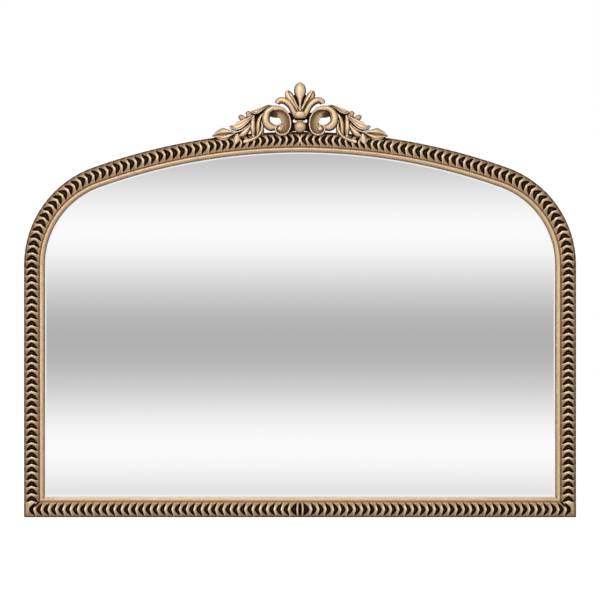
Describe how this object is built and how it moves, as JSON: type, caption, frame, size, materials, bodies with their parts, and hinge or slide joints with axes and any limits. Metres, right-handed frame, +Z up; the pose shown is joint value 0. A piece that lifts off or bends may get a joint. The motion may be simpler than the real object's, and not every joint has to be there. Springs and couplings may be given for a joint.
{
  "type": "overmantel mirror",
  "caption": "Arched overmantel mirror in an aged-gold frame with a husk-carved band, sight bead and a pierced crest of palmette, scrolls and leaves; ring hangers and turn buttons behind.",
  "frame": {"origin": "middle of the bottom rail's flat underside, where the frame stands on the shelf, at mid-depth of the timber", "axes": "+Z up, the glass faces -Y, +Y towards the wall, +X to the viewer's right"},
  "size_m": [1.2, 0.052, 0.945],
  "materials": {
    "gilt_ornament": "carved and composition ornament in aged gold gilding, dark patina in the hollows, satin",
    "gilt_timber": "softwood moulding, gilded front, brown stained sides and back",
    "mirror_glass": "4 mm silvered float glass",
    "back_board": "6 mm fibreboard backing, raw",
    "beech": "fluted beech dowel, raw",
    "zinc_steel": "bright zinc plate",
    "rubber": "black moulded rubber"
  },
  "bodies": {
    "frame": {"bottom_rail": "gilt_timber", "stile_left": "gilt_timber", "stile_right": "gilt_timber", "haunch_left": "gilt_timber", "haunch_right": "gilt_timber", "crown_rail": "gilt_timber", "husk_band_bottom_left": "gilt_ornament", "husk_band_bottom_right": "gilt_ornament", "husk_band_stile_left": "gilt_ornament", "husk_band_stile_right": "gilt_ornament", "husk_band_arch_left": "gilt_ornament", "husk_band_arch_right": "gilt_ornament", "sight_bead_bottom": "gilt_ornament", "sight_bead_left": "gilt_ornament", "sight_bead_right": "gilt_ornament", "sight_bead_arch": "gilt_ornament", "crest_palmette": "gilt_ornament", "crest_ball": "gilt_ornament", "crest_scroll_left": "gilt_ornament", "crest_scroll_right": "gilt_ornament", "crest_acanthus_left": "gilt_ornament", "crest_acanthus_right": "gilt_ornament", "crest_laurel_left": "gilt_ornament", "crest_laurel_right": "gilt_ornament", "mitre_dowel_left": "beech", "mitre_dowel_right": "beech", "springing_dowel_left": "beech", "springing_dowel_right": "beech", "crown_dowel_left": "beech", "crown_dowel_right": "beech", "mirror_plate": "mirror_glass", "back_board": "back_board", "glass_rest_left": "rubber", "glass_rest_right": "rubber", "wall_bumper_left": "rubber", "wall_bumper_right": "rubber", "crest_brace": "zinc_steel", "crest_brace_screw_lower": "zinc_steel", "crest_brace_screw_middle": "zinc_steel", "crest_brace_screw_upper": "zinc_steel", "hanger_strap_left": "zinc_steel", "hanger_strap_right": "zinc_steel", "hanger_screw_left_upper": "zinc_steel", "hanger_screw_left_lower": "zinc_steel", "hanger_screw_right_upper": "zinc_steel", "hanger_screw_right_lower": "zinc_steel", "turn_button_bottom_left_screw": "zinc_steel", "turn_button_stile_left_screw": "zinc_steel", "turn_button_arch_left_screw": "zinc_steel", "turn_button_bottom_right_screw": "zinc_steel", "turn_button_stile_right_screw": "zinc_steel", "turn_button_arch_right_screw": "zinc_steel"},
    "ring_left": {"hanger_ring_left": "zinc_steel"},
    "ring_right": {"hanger_ring_right": "zinc_steel"},
    "button_bottom_left": {"turn_button_bottom_left": "zinc_steel"},
    "button_stile_left": {"turn_button_stile_left": "zinc_steel"},
    "button_arch_left": {"turn_button_arch_left": "zinc_steel"},
    "button_bottom_right": {"turn_button_bottom_right": "zinc_steel"},
    "button_stile_right": {"turn_button_stile_right": "zinc_steel"},
    "button_arch_right": {"turn_button_arch_right": "zinc_steel"}
  },
  "joints": [
    {"name": "ring_left_swing", "type": "hinge", "parent": "frame", "child": "ring_left", "pos_m": [-0.5823, 0.0134, 0.5], "axis": [1, 0, 0], "range_deg": [0, 180]},
    {"name": "ring_right_swing", "type": "hinge", "parent": "frame", "child": "ring_right", "pos_m": [0.5823, 0.0134, 0.5], "axis": [1, 0, 0], "range_deg": [0, 180]},
    {"name": "button_bottom_left_turn", "type": "hinge", "parent": "frame", "child": "button_bottom_left", "pos_m": [-0.3, 0.0103, 0.022], "axis": [0, 1, 0], "range_deg": [-90, 90]},
    {"name": "button_stile_left_turn", "type": "hinge", "parent": "frame", "child": "button_stile_left", "pos_m": [-0.578, 0.0103, 0.29], "axis": [0, 1, 0], "range_deg": [-90, 90]},
    {"name": "button_arch_left_turn", "type": "hinge", "parent": "frame", "child": "button_arch_left", "pos_m": [-0.25573, 0.0103, 0.79094], "axis": [0, 1, 0], "range_deg": [-90, 90]},
    {"name": "button_bottom_right_turn", "type": "hinge", "parent": "frame", "child": "button_bottom_right", "pos_m": [0.3, 0.0103, 0.022], "axis": [0, 1, 0], "range_deg": [-90, 90]},
    {"name": "button_stile_right_turn", "type": "hinge", "parent": "frame", "child": "button_stile_right", "pos_m": [0.578, 0.0103, 0.29], "axis": [0, 1, 0], "range_deg": [-90, 90]},
    {"name": "button_arch_right_turn", "type": "hinge", "parent": "frame", "child": "button_arch_right", "pos_m": [0.25573, 0.0103, 0.79094], "axis": [0, 1, 0], "range_deg": [-90, 90]}
  ]
}
